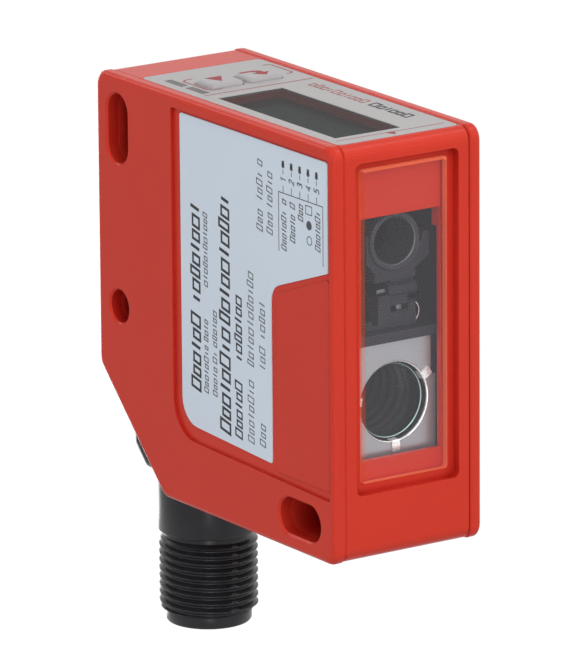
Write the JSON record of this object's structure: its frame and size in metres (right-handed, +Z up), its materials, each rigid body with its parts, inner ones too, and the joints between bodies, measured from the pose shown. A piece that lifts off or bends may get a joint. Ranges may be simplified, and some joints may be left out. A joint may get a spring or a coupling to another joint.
{
  "type": "optical distance sensor",
  "caption": "Flat red optical distance sensor with a front window, a keypad and display on top, fixing slots through its sides and a turning plug on its cut rear corner.",
  "frame": {"origin": "on the axis of the round fixing hole, half way across the width", "axes": "+X across the width along the fixing hole, away from the label; -Y is where the window looks; +Z up, away from the plug, towards the keypad"},
  "size_m": [0.021, 0.05, 0.0689],
  "materials": {
    "red_body": "fine matt",
    "red_cover": "fine matt",
    "window_pane": "clear, tinted slightly grey",
    "foil": "satin silver print",
    "display_film": "smoked clear film",
    "display_dark": "dark gloss",
    "key_pad": "satin",
    "spring_steel": "bright",
    "smoked_plastic": "smoked",
    "led_white": "plain",
    "circuit_board": "solder resist",
    "chip_black": "matt",
    "capacitor_ochre": "plain",
    "screw_steel": "turned",
    "flex_amber": "clear amber",
    "black_frame": "matt black",
    "dark_tube": "dark anodised",
    "optic_glass": "coated",
    "brass_can": "plain",
    "sheet_metal": "rolled",
    "black_plug": "satin black",
    "seal_rubber": "plain",
    "contact_gold": "gold plated",
    "lead_sheath": "plain",
    "label_film": "satin print"
  },
  "bodies": {
    "body": {"housing": "red_body", "left_cover": "red_cover", "right_cover": "red_cover", "front_window": "window_pane", "keypad_foil": "foil", "display_window": "display_film", "display_module": "display_dark", "key_switches": "spring_steel", "light_pipes": "smoked_plastic", "status_leds": "led_white", "keypad_board": "circuit_board", "main_board": "circuit_board", "board_chips": "chip_black", "board_capacitors": "capacitor_ochre", "board_screws": "screw_steel", "ribbon_cable": "flex_amber", "optics_chassis": "black_frame", "laser_bracket": "black_frame", "laser_cradle": "black_frame", "hinge_pin": "screw_steel", "adjusting_screw": "screw_steel", "leaf_spring": "spring_steel", "laser_tube": "dark_tube", "laser_lens": "optic_glass", "laser_diode": "brass_can", "receiver_plate": "sheet_metal", "receiver_lens": "optic_glass", "lens_spring_ring": "spring_steel", "light_baffle": "black_frame", "line_sensor": "chip_black", "sensor_board": "circuit_board", "lead_bundle": "lead_sheath", "label": "label_film"},
    "plug": {"swivel_elbow": "black_plug", "swivel_seal": "seal_rubber", "swivel_clip": "spring_steel", "contact_insert": "black_plug", "contact_pins": "contact_gold", "plug_leads": "lead_sheath"},
    "select_key": {"select_button": "key_pad"},
    "enter_key": {"enter_button": "key_pad"}
  },
  "joints": [
    {"name": "plug_swivel", "type": "hinge", "parent": "body", "child": "plug", "pos_m": [0, -0.0023, -0.0147], "axis": [0, 0.7071, -0.7071], "range_deg": [0, 180]},
    {"name": "select_press", "type": "slide", "parent": "body", "child": "select_key", "axis": [0, 0, -1], "range_m": [0, 0.0003], "stiffness_N_per_m": 2000, "springref_m": -0.0002},
    {"name": "enter_press", "type": "slide", "parent": "body", "child": "enter_key", "axis": [0, 0, -1], "range_m": [0, 0.0003], "stiffness_N_per_m": 2000, "springref_m": -0.0002}
  ]
}
